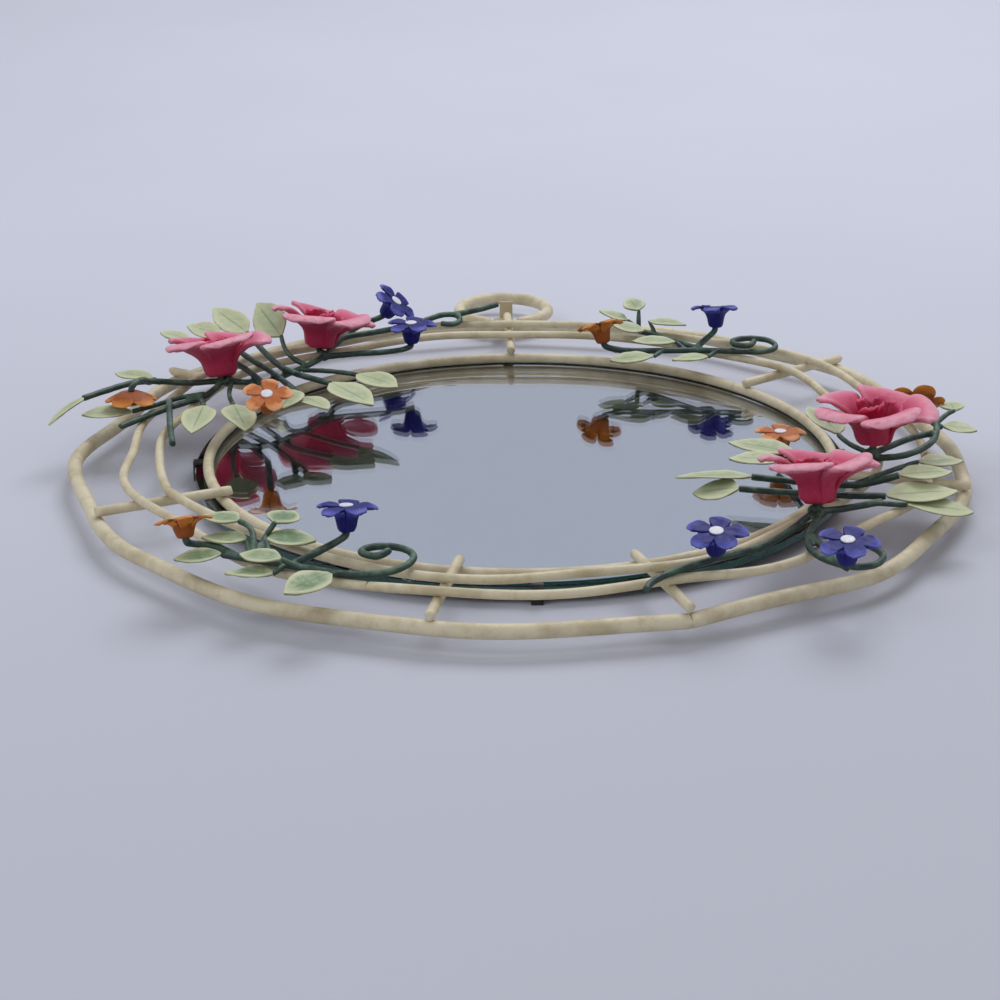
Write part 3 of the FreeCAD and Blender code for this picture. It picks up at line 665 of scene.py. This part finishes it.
def petal_ring(master, name, spin, count, scale=(1, 1, 1), roll=0.0, lean=2.0, lift=0.0):
    """Copies of a petal set round the axis, each rolled so that it overlaps the next."""
    ring = []
    for k in range(count):
        petal = copy_of(master, f"{name}_{k}")
        inset = 1 - second_inset_share * (k % 2)
        sway = math.sin(lean_step * k + lean_start)
        tip = Matrix.Rotation(math.radians(lean * sway - lift), 4, "Y")
        side = Matrix.Rotation(math.radians(roll * (1 + roll_change_share * math.sin(roll_step * k))), 4, "X")
        turn = Matrix.Rotation(spin + 2 * math.pi * k / count, 4, "Z")
        size = Matrix.Diagonal((scale[0] * inset, scale[1], scale[2], 1))
        petal.data.transform(turn @ tip @ side @ size)
        ring.append(petal)
    return ring


def make_leaf():
    """A leaf one unit long and wide, drawn up row by row from its root, cupped and drooping."""
    bpy.ops.object.select_all(action="DESELECT")
    bpy.ops.mesh.primitive_grid_add(x_subdivisions=leaf_columns, y_subdivisions=1, size=1)
    leaf = named("leaf_master")
    edit(leaf)
    pick(leaf, lambda co: co.y > 0)
    bpy.ops.mesh.delete(type="VERT")
    bpy.ops.mesh.select_all(action="SELECT")
    along, wide = leaf_shares[0]
    bpy.ops.transform.translate(value=(0, 0.5, 0))
    bpy.ops.transform.resize(value=(wide, 1, 1), center_override=(0, 0, 0))
    for next_along, next_wide in leaf_shares[1:]:
        bpy.ops.mesh.extrude_edges_move(TRANSFORM_OT_translate={"value": (0, next_along - along, 0)})
        bpy.ops.transform.resize(value=(next_wide / wide, 1, 1), center_override=(0, 0, 0))
        along, wide = next_along, next_wide
    done()
    place = places(leaf)
    rows = np.arange(len(place)) // (leaf_columns + 1)
    widest = np.array([abs(place[rows == row, 0]).max() for row in rows])
    carry(leaf, "along", place[:, 1])
    carry(leaf, "across", abs(place[:, 0]) / widest)
    place[:, 2] = leaf_cup_share * abs(place[:, 0]) ** 1.5 - leaf_droop_share * place[:, 1] ** 2
    leaf.data.vertices.foreach_set("co", place.ravel())
    return leaf


def remove(*pieces):
    """Deletes pieces that were only copied from."""
    for piece in pieces:
        bpy.data.objects.remove(piece)


def unique_places(node):
    """The corners of a frame node, each once."""
    return np.unique(np.round(places(nodes[node]), 7), axis=0)


def leaf_islands(node):
    """The corners of each leaf of a frame node."""
    parts = merged_copy(node, "leaf_parts")
    mesh = bmesh.new()
    mesh.from_mesh(parts.data)
    left = set(mesh.verts)
    islands = []
    while left:
        start = min(left, key=lambda v: v.index)
        island, waiting = {start}, [start]
        while waiting:
            for edge in waiting.pop().link_edges:
                for vertex in edge.verts:
                    if vertex not in island:
                        island.add(vertex)
                        waiting.append(vertex)
        left -= island
        islands.append(np.array([v.co for v in sorted(island, key=lambda v: v.index)]))
    mesh.free()
    remove(parts)
    return islands


def leaf_place(corners):
    """Where the unit leaf goes to lie over a leaf with these corners, its upper side up."""
    middle = corners.mean(0)
    axes = np.linalg.svd(corners - middle)[2]
    reach = (corners - middle) @ axes[0]
    spread = abs((corners - middle) @ axes[1])
    end = leaf_end_share * (reach.max() - reach.min())
    low = reach < reach.min() + end
    high = reach > reach.max() - end
    root, tip = (low, high) if spread[low].max() > spread[high].max() else (high, low)
    root, tip = Vector(corners[root].mean(0)), Vector(corners[tip].mean(0))
    along = (tip - root).normalized()
    side = Vector(axes[1])
    side = (side - along * side.dot(along)).normalized()
    up = side.cross(along)
    if up.z < 0:
        side, up = -side, -up
    stretch = (tip - root).length
    grip = Matrix((side * 2 * spread.max(), along * stretch, up * stretch)).transposed().to_4x4()
    return Matrix.Translation(root) @ grip


# Each flower: its tilt and the compass angle towards which it tilts, its spin, and its share of full size.
# Three small flowers were pressed flatter, and two roses are less open, so their petals are lifted.
flowers = {
    "rose_upper_left": (13, 110, 10, 1.0),
    "rose_top_left": (14, 50, 40, 1.0),
    "rose_upper_right": (2, 90, 0, 1.03),
    "rose_lower_right": (13, 90, 30, 1.0),
    "peach_flower_left": (22, 275, 18, 0.95),
    "orange_flower_left": (176, 265, 30, 0.95),
    "blue_flower_top": (40, 345, 0, 1.0),
    "blue_flower_upper_left": (0, 90, 15, 1.0),
    "orange_flower_upper_right": (25, 120, 20, 0.95),
    "blue_flower_upper_right": (14, 90, 40, 1.0),
    "peach_flower_right": (0, 270, 18, 0.95),
    "orange_flower_right": (50, 85, 0, 1.0),
    "blue_flower_lower_middle": (10, 265, 10, 1.0),
    "blue_flower_lower_right": (8, 262, 0, 1.0),
    "orange_flower_lower_left": (24, 110, 0, 0.95),
    "blue_flower_lower_left": (8, 90, 20, 1.0),
}
lift_degrees = {"rose_lower_right": 5, "rose_upper_left": 3}
flatter_shares = {"orange_flower_left": 0.6, "orange_flower_right": 0.45, "orange_flower_lower_left": 0.8}
pressed_flowers = ("orange_flower_left", "orange_flower_right")
base_depth = 0.02 * millimetre

# Each ring of petals in a bud: its spin, its scale, and the degrees that its petals roll and lean
bud_rings = ((0.5, (1.0, 1.25, 0.97), 10, 7), (1.6, (0.58, 0.8, 1.05), 12, 5))
rose_roll = 7
bloom_roll = 4


def seat(node):
    """Where a flower stands: its base read from the frame's node, and its lean."""
    tilt, towards, spin, size = flowers[node]
    tilt, towards = math.radians(tilt), math.radians(towards)
    axis = Vector((math.sin(tilt) * math.cos(towards), math.sin(tilt) * math.sin(towards), math.cos(tilt)))
    corners = unique_places(node)
    heights = corners @ np.array(axis)
    base = Vector(corners[heights < heights.min() + base_depth].mean(0))
    turn = Vector((0, 0, 1)).rotation_difference(axis).to_matrix().to_4x4()
    turn = turn @ Matrix.Rotation(math.radians(spin), 4, "Z")
    height = size * flatter_shares.get(node, 1)
    return Matrix.Translation(base) @ turn @ Matrix.Diagonal((size, size, height, 1))


def hand_made(piece, depth):
    """Gives a piece the slight unevenness of hand work."""
    modify(piece, "DISPLACE", texture=bpy.data.textures["Hand-made lumps"], strength=depth, mid_level=0.5)


def finish_flower(pieces, name, sheet, levels, place, paint, node):
    """Joins the petals of a flower, thickens and rounds them, and sets the flower on its stem."""
    flower = joined(pieces, name)
    modify(flower, "SOLIDIFY", thickness=sheet, offset=0.0, vertex_group="thick")
    rounded(flower, levels)
    hand_made(flower, flower_lump_share * sheet)
    flower.data.transform(place)
    settle(flower, "frame", node, [paint])


# Operators

rod_names = ("rail_", "middle_wire", "inner_wire", "rung_", "mirror_ring")
rod_end_angle = math.radians(70)
vine_end_angle = math.radians(75)
strap_edge_angle = math.radians(60)
strap_smooth_angle = math.radians(35)
centre_flat_angle = math.radians(5)
centre_edge_angle = math.radians(50)

# A face of the glass is on its rim below the first of these, and is smoothed below the second
rim_level = 0.5
smooth_level = 0.9
clear_index, silver_index, ground_index = 0, 1, 2

# The room, in metres
floor_width = 24
floor_back = 6
# Where the floor's painted shade starts and where it is full, from back to front
floor_front_start = 0.35
floor_front_end = -0.45
window_place = (0.5, 1.6, 2.2)
window_width = 1.8
fill_place = (-1.4, -1.0, 1.6)
fill_width = 1.4
view_end = 100


class MIRROR_OT_rods(bpy.types.Operator):
    """Rounds and paints the bent rods, the rungs and the ring on the glass"""
    bl_idname = "mirror.rods"
    bl_label = "Cream rods"

    def execute(self, context):
        rods = context.scene.mirror_rods
        cream = cream_paint(rods)
        for node in nodes:
            if node.startswith(rod_names):
                rod = merged_copy(node, node + "_painted")
                creased(rod, rod_end_angle, rods.end_crease)
                rounded(rod, rods.rounds)
                settle(rod, "frame", node, [cream])
        return {"FINISHED"}


class MIRROR_OT_hanger(bpy.types.Operator):
    """Rounds and paints the hanging ring and its strap"""
    bl_idname = "mirror.hanger"
    bl_label = "Hanging ring"

    def execute(self, context):
        rods = context.scene.mirror_rods
        cream = bpy.data.materials["Cream paint"]
        strap = merged_copy("hanger_strap", "hanger_strap_painted")
        squared(strap)
        bevelled(strap, strap_edge_angle)
        bpy.ops.object.shade_smooth_by_angle(angle=strap_smooth_angle)
        settle(strap, "frame", "hanger_strap", [cream])
        ring = merged_copy("hanger_ring", "hanger_ring_painted")
        creased(ring, rod_end_angle, rods.end_crease)
        rounded(ring, rods.rounds)
        settle(ring, "hanger", "hanger_ring", [cream])
        return {"FINISHED"}


class MIRROR_OT_glass(bpy.types.Operator):
    """Paints the glass, its silvering, the board and the clips"""
    bl_idname = "mirror.glass"
    bl_label = "Mirror glass"

    def execute(self, context):
        settings = context.scene.mirror_glass
        glass = merged_copy("mirror_glass", "mirror_glass_polished")
        paints = [clear_paint(settings), silver_paint(settings), ground_paint(settings)]
        settle(glass, "frame", "mirror_glass", paints)
        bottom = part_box("mirror_glass")[0].z + settings.seam
        for vertex in glass.data.vertices:
            vertex.co.z = max(vertex.co.z, bottom)
        for face in glass.data.polygons:
            level = abs(face.normal.z)
            if face.center.z < bottom + settings.seam:
                face.material_index = silver_index
            elif level < rim_level:
                face.material_index = ground_index
            else:
                face.material_index = clear_index
            face.use_smooth = level < smooth_level
        board = plain_paint("Backing board", settings.board, settings.board_worn, board_patch, 0.6)
        steel = plain_paint("Clip steel", settings.clip, settings.clip_worn, clip_patch, 0.35, Metallic=0.7)
        for node, paint in (("backing_board", board), ("mirror_clips", steel)):
            nodes[node].data.materials.clear()
            nodes[node].data.materials.append(paint)
        return {"FINISHED"}


# Where the stems of a spray meet, as shares of the rail's radius. Their height is measured within a few
# bead radii.
rail_radius = 245 * millimetre
hub_shares = {
    "stems_upper_left": ((-0.70, 0.33), (-0.485, 0.53)),
    "stems_right": ((0.60, -0.54), (0.76, -0.22)),
}
hub_reach = 3


class MIRROR_OT_vines(bpy.types.Operator):
    """Melts the stems together at their joints and paints them"""
    bl_idname = "mirror.vines"
    bl_label = "Vines"

    def execute(self, context):
        vines = context.scene.mirror_vines
        green = vine_paint(vines)
        lumps = bpy.data.textures.new("Hand-made lumps", "CLOUDS")
        lumps.noise_scale = vines.lump_size
        for node in nodes:
            if node.startswith("stems_"):
                vine = merged_copy(node, node.replace("stems", "vines"))
                creased(vine, vine_end_angle, 1)
                modify(vine, "SUBSURF", levels=vines.rounds, render_levels=vines.rounds)
                vine = joined([vine] + self.beads(node, vines.bead), vine.name)
                modify(vine, "REMESH", mode="VOXEL", voxel_size=vines.cell)
                modify(vine, "SMOOTH", factor=0.5, iterations=vines.melting)
                hand_made(vine, vines.lump)
                modify(vine, "DISPLACE", strength=-vines.trim, mid_level=0.0)
                bpy.ops.object.shade_smooth()
                settle(vine, "frame", node, [green])
        return {"FINISHED"}

    def beads(self, node, radius):
        """A weld bead on each hub of a spray, at the height that its stems have there."""
        corners = unique_places(node)
        beads = []
        for shares in hub_shares.get(node, ()):
            hub = np.array(shares) * rail_radius
            near = corners[np.hypot(*(corners[:, :2] - hub).T) < hub_reach * radius]
            place = (*hub, near[:, 2].mean())
            bpy.ops.object.select_all(action="DESELECT")
            bpy.ops.mesh.primitive_ico_sphere_add(subdivisions=3, radius=radius, location=place)
            bpy.ops.object.transform_apply(location=True)
            beads.append(named("weld_bead"))
        return beads


class MIRROR_OT_leaves(bpy.types.Operator):
    """Models a leaf and sets a copy of it on each leaf stem"""
    bl_idname = "mirror.leaves"
    bl_label = "Leaves"

    def execute(self, context):
        leaves = context.scene.mirror_leaves
        light = leaf_paint("Leaf paint, lightly brushed", leaves, leaves.light_brushing)
        strong = leaf_paint("Leaf paint, strongly brushed", leaves, 1.0)
        master = make_leaf()
        draw = np.random.default_rng(leaf_seed)
        for node in nodes:
            if not node.startswith("leaves_"):
                continue
            copies = []
            for corners in leaf_islands(node):
                leaf = copy_of(master, "leaf")
                twist = math.radians(draw.uniform(-leaf_twist, leaf_twist))
                modify(leaf, "SIMPLE_DEFORM", deform_method="TWIST", deform_axis="Y", angle=twist)
                leaf.data.transform(leaf_place(corners))
                copies.append(leaf)
            whole = joined(copies, node + "_cut")
            modify(whole, "SOLIDIFY", thickness=leaves.sheet, offset=0.0)
            rounded(whole, leaves.rounds)
            hand_made(whole, leaf_lump_share * leaves.sheet)
            settle(whole, "frame", node, [strong if node == "leaves_lower_left" else light])
        remove(master)
        return {"FINISHED"}


class MIRROR_OT_roses(bpy.types.Operator):
    """Models a petal, and builds each rose and its curled bud from copies of it"""
    bl_idname = "mirror.roses"
    bl_label = "Roses"

    def execute(self, context):
        roses = context.scene.mirror_roses
        paint = petal_paint("Rose paint", roses.deep, roses.middle, roses.frost, 0.85)
        bud_paint = petal_paint("Bud paint", roses.heart, roses.bud, roses.middle, 0.9)
        outer = make_petal("rose_petal", rose_petal_shares, roses.radius, roses.height)
        inner = make_petal("bud_petal", bud_petal_shares, roses.radius, roses.height)
        for node in flowers:
            if not node.startswith("rose"):
                continue
            place = seat(node)
            ring = petal_ring(outer, node, 0, roses.petals, roll=rose_roll, lift=lift_degrees.get(node, 0))
            finish_flower(ring, node + "_petals", roses.sheet, roses.rounds, place, paint, node)
            bud = []
            for spin, scale, roll, lean in bud_rings:
                bud += petal_ring(inner, node, spin, roses.bud_petals, scale, roll, lean)
            bud_node = node.replace("rose", "rose_bud")
            finish_flower(bud, bud_node + "_curled", roses.bud_sheet, roses.rounds, place, bud_paint,
                          bud_node)
        remove(outer, inner)
        return {"FINISHED"}


class MIRROR_OT_blooms(bpy.types.Operator):
    """Models a small petal, and builds the blue, orange and peach flowers from copies of it"""
    bl_idname = "mirror.blooms"
    bl_label = "Small flowers"

    def execute(self, context):
        blooms = context.scene.mirror_blooms
        paints = {
            "blue": petal_paint("Blue paint", blooms.blue_deep, blooms.blue, blooms.blue_frost, 0.9),
            "orange": petal_paint("Orange paint", blooms.orange_deep, blooms.orange,
                                  blooms.orange_frost, 0.6),
            "peach": petal_paint("Peach paint", blooms.peach_deep, blooms.peach, blooms.peach_frost, 0.8),
        }
        cup = make_petal("bloom_cup", cup_shares, blooms.radius, blooms.height)
        lobe = make_petal("bloom_lobe", lobe_shares, blooms.radius, blooms.height)
        pressed = make_petal("pressed_petal", pressed_petal_shares, blooms.radius, blooms.height)
        for node in flowers:
            if node.startswith("rose"):
                continue
            if node in pressed_flowers:
                ring = petal_ring(pressed, node, 0, blooms.petals)
            else:
                ring = petal_ring(cup, node + "_cup", 0, blooms.petals)
                ring += petal_ring(lobe, node, 0, blooms.petals, roll=bloom_roll)
            kind = node.split("_")[0]
            finish_flower(ring, node + "_petals", blooms.sheet, blooms.rounds, seat(node), paints[kind],
                          node)
        remove(cup, lobe, pressed)
        white = plain_paint("White paint", blooms.white, blooms.white_shade, white_patch, 0.4)
        centres = merged_copy("flower_centres", "flower_centres_painted")
        edit(centres, "SELECT")
        bpy.ops.mesh.dissolve_limited(angle_limit=centre_flat_angle)
        done()
        bevelled(centres, centre_edge_angle)
        rounded(centres, 1)
        settle(centres, "frame", "flower_centres", [white])
        return {"FINISHED"}


class MIRROR_OT_stage(bpy.types.Operator):
    """Sets the floor, the soft light and the camera"""
    bl_idname = "mirror.stage"
    bl_label = "Floor, light and camera"

    def execute(self, context):
        stage = context.scene.mirror_stage
        self.floor(stage)
        self.room(stage, context.scene)
        self.lamp("Window", window_place, window_width, stage.window_power, stage.window)
        self.lamp("Fill", fill_place, fill_width, stage.fill_power, stage.fill)
        self.camera(stage, context.scene)
        context.scene.view_settings.view_transform = "Standard"
        return {"FINISHED"}

    def floor(self, stage):
        """A pale floor, with painted shade that makes it duller in front of the mirror."""
        bpy.ops.object.select_all(action="DESELECT")
        bpy.ops.mesh.primitive_plane_add(size=floor_width, location=(0, floor_back, 0))
        bpy.ops.object.transform_apply(location=True)
        floor = named("floor")
        paint = Paint("Floor card", Roughness=0.85)
        mottle = paint.span(paint.noise(floor_patch, 3, 0.5), 0.3, 0.7)
        even = paint.mix(mottle, stage.floor, tinted(stage.floor, 0.97))
        # Painted shade: the floor darkens towards the front
        near = paint.span(paint.depth(), floor_front_start, floor_front_end)
        paint.colour(paint.mix(near, even, tinted(stage.floor, 0.88)))
        floor.data.materials.append(paint.material)

    def room(self, stage, scene):
        """Even light from all round, and a cooler room for the mirror to show."""
        world = bpy.data.worlds.new("Studio")
        scene.world = world
        world.use_nodes = True
        world.node_tree.nodes.clear()
        tree = Tree(world.node_tree)
        path = tree.add("ShaderNodeLightPath").outputs
        soft = tree.add("ShaderNodeBackground", {"Color": stage.sky, "Strength": stage.sky_strength})
        seen = tree.add("ShaderNodeBackground", {"Color": stage.seen})
        shown = tree.add("ShaderNodeMath", {0: path["Is Glossy Ray"], 1: path["Is Transmission Ray"]},
                         operation="MAXIMUM")
        both = {0: shown.outputs[0], 1: soft.outputs[0], 2: seen.outputs[0]}
        choice = tree.add("ShaderNodeMixShader", both)
        tree.add("ShaderNodeOutputWorld", {0: choice.outputs[0]})

    def lamp(self, name, place, width, power, tint):
        """A round lamp that shines at the middle of the mirror."""
        light = bpy.data.lights.new(name, "AREA")
        light.shape = "DISK"
        light.size = width
        light.energy = power
        light.color = tint
        lamp = bpy.data.objects.new(name, light)
        bpy.context.scene.collection.objects.link(lamp)
        turn = Vector(place).to_track_quat("Z", "Y").to_matrix().to_4x4()
        lamp.matrix_world = Matrix.Translation(place) @ turn

    def camera(self, stage, scene):
        """The camera where the photograph was taken from."""
        settings = bpy.data.cameras.new("Camera")
        settings.lens = stage.lens
        settings.clip_end = view_end
        camera = bpy.data.objects.new("Camera", settings)
        scene.collection.objects.link(camera)
        turn = Matrix.Rotation(math.pi / 2 - stage.tilt, 4, "X") @ Matrix.Rotation(stage.roll, 4, "Z")
        camera.matrix_world = Matrix.Translation((stage.across, stage.back, stage.high)) @ turn
        scene.camera = camera


class MIRROR_PT_panel(bpy.types.Panel):
    """Lists the pieces of the mirror"""
    bl_idname = "MIRROR_PT_panel"
    bl_label = "Mirror"
    bl_space_type = "VIEW_3D"
    bl_region_type = "UI"
    bl_category = "Mirror"

    def draw(self, context):
        for operator in operators:
            self.layout.operator(operator.bl_idname)


groups = {
    "mirror_rods": RodSettings,
    "mirror_vines": VineSettings,
    "mirror_leaves": LeafSettings,
    "mirror_roses": RoseSettings,
    "mirror_blooms": BloomSettings,
    "mirror_glass": GlassSettings,
    "mirror_stage": StageSettings,
}
operators = (MIRROR_OT_rods, MIRROR_OT_hanger, MIRROR_OT_glass, MIRROR_OT_vines, MIRROR_OT_leaves,
             MIRROR_OT_roses, MIRROR_OT_blooms, MIRROR_OT_stage)


def register():
    for name, group in groups.items():
        bpy.utils.register_class(group)
        setattr(bpy.types.Scene, name, PointerProperty(type=group))
    for kind in operators + (MIRROR_PT_panel,):
        bpy.utils.register_class(kind)


def unregister():
    for kind in reversed(operators + (MIRROR_PT_panel,)):
        bpy.utils.unregister_class(kind)
    for name, group in groups.items():
        delattr(bpy.types.Scene, name)
        bpy.utils.unregister_class(group)


def main():
    register()
    bpy.ops.mirror.rods()
    bpy.ops.mirror.hanger()
    bpy.ops.mirror.glass()
    bpy.ops.mirror.vines()
    bpy.ops.mirror.leaves()
    bpy.ops.mirror.roses()
    bpy.ops.mirror.blooms()
    bpy.ops.mirror.stage()


if __name__ == "__main__":
    main()
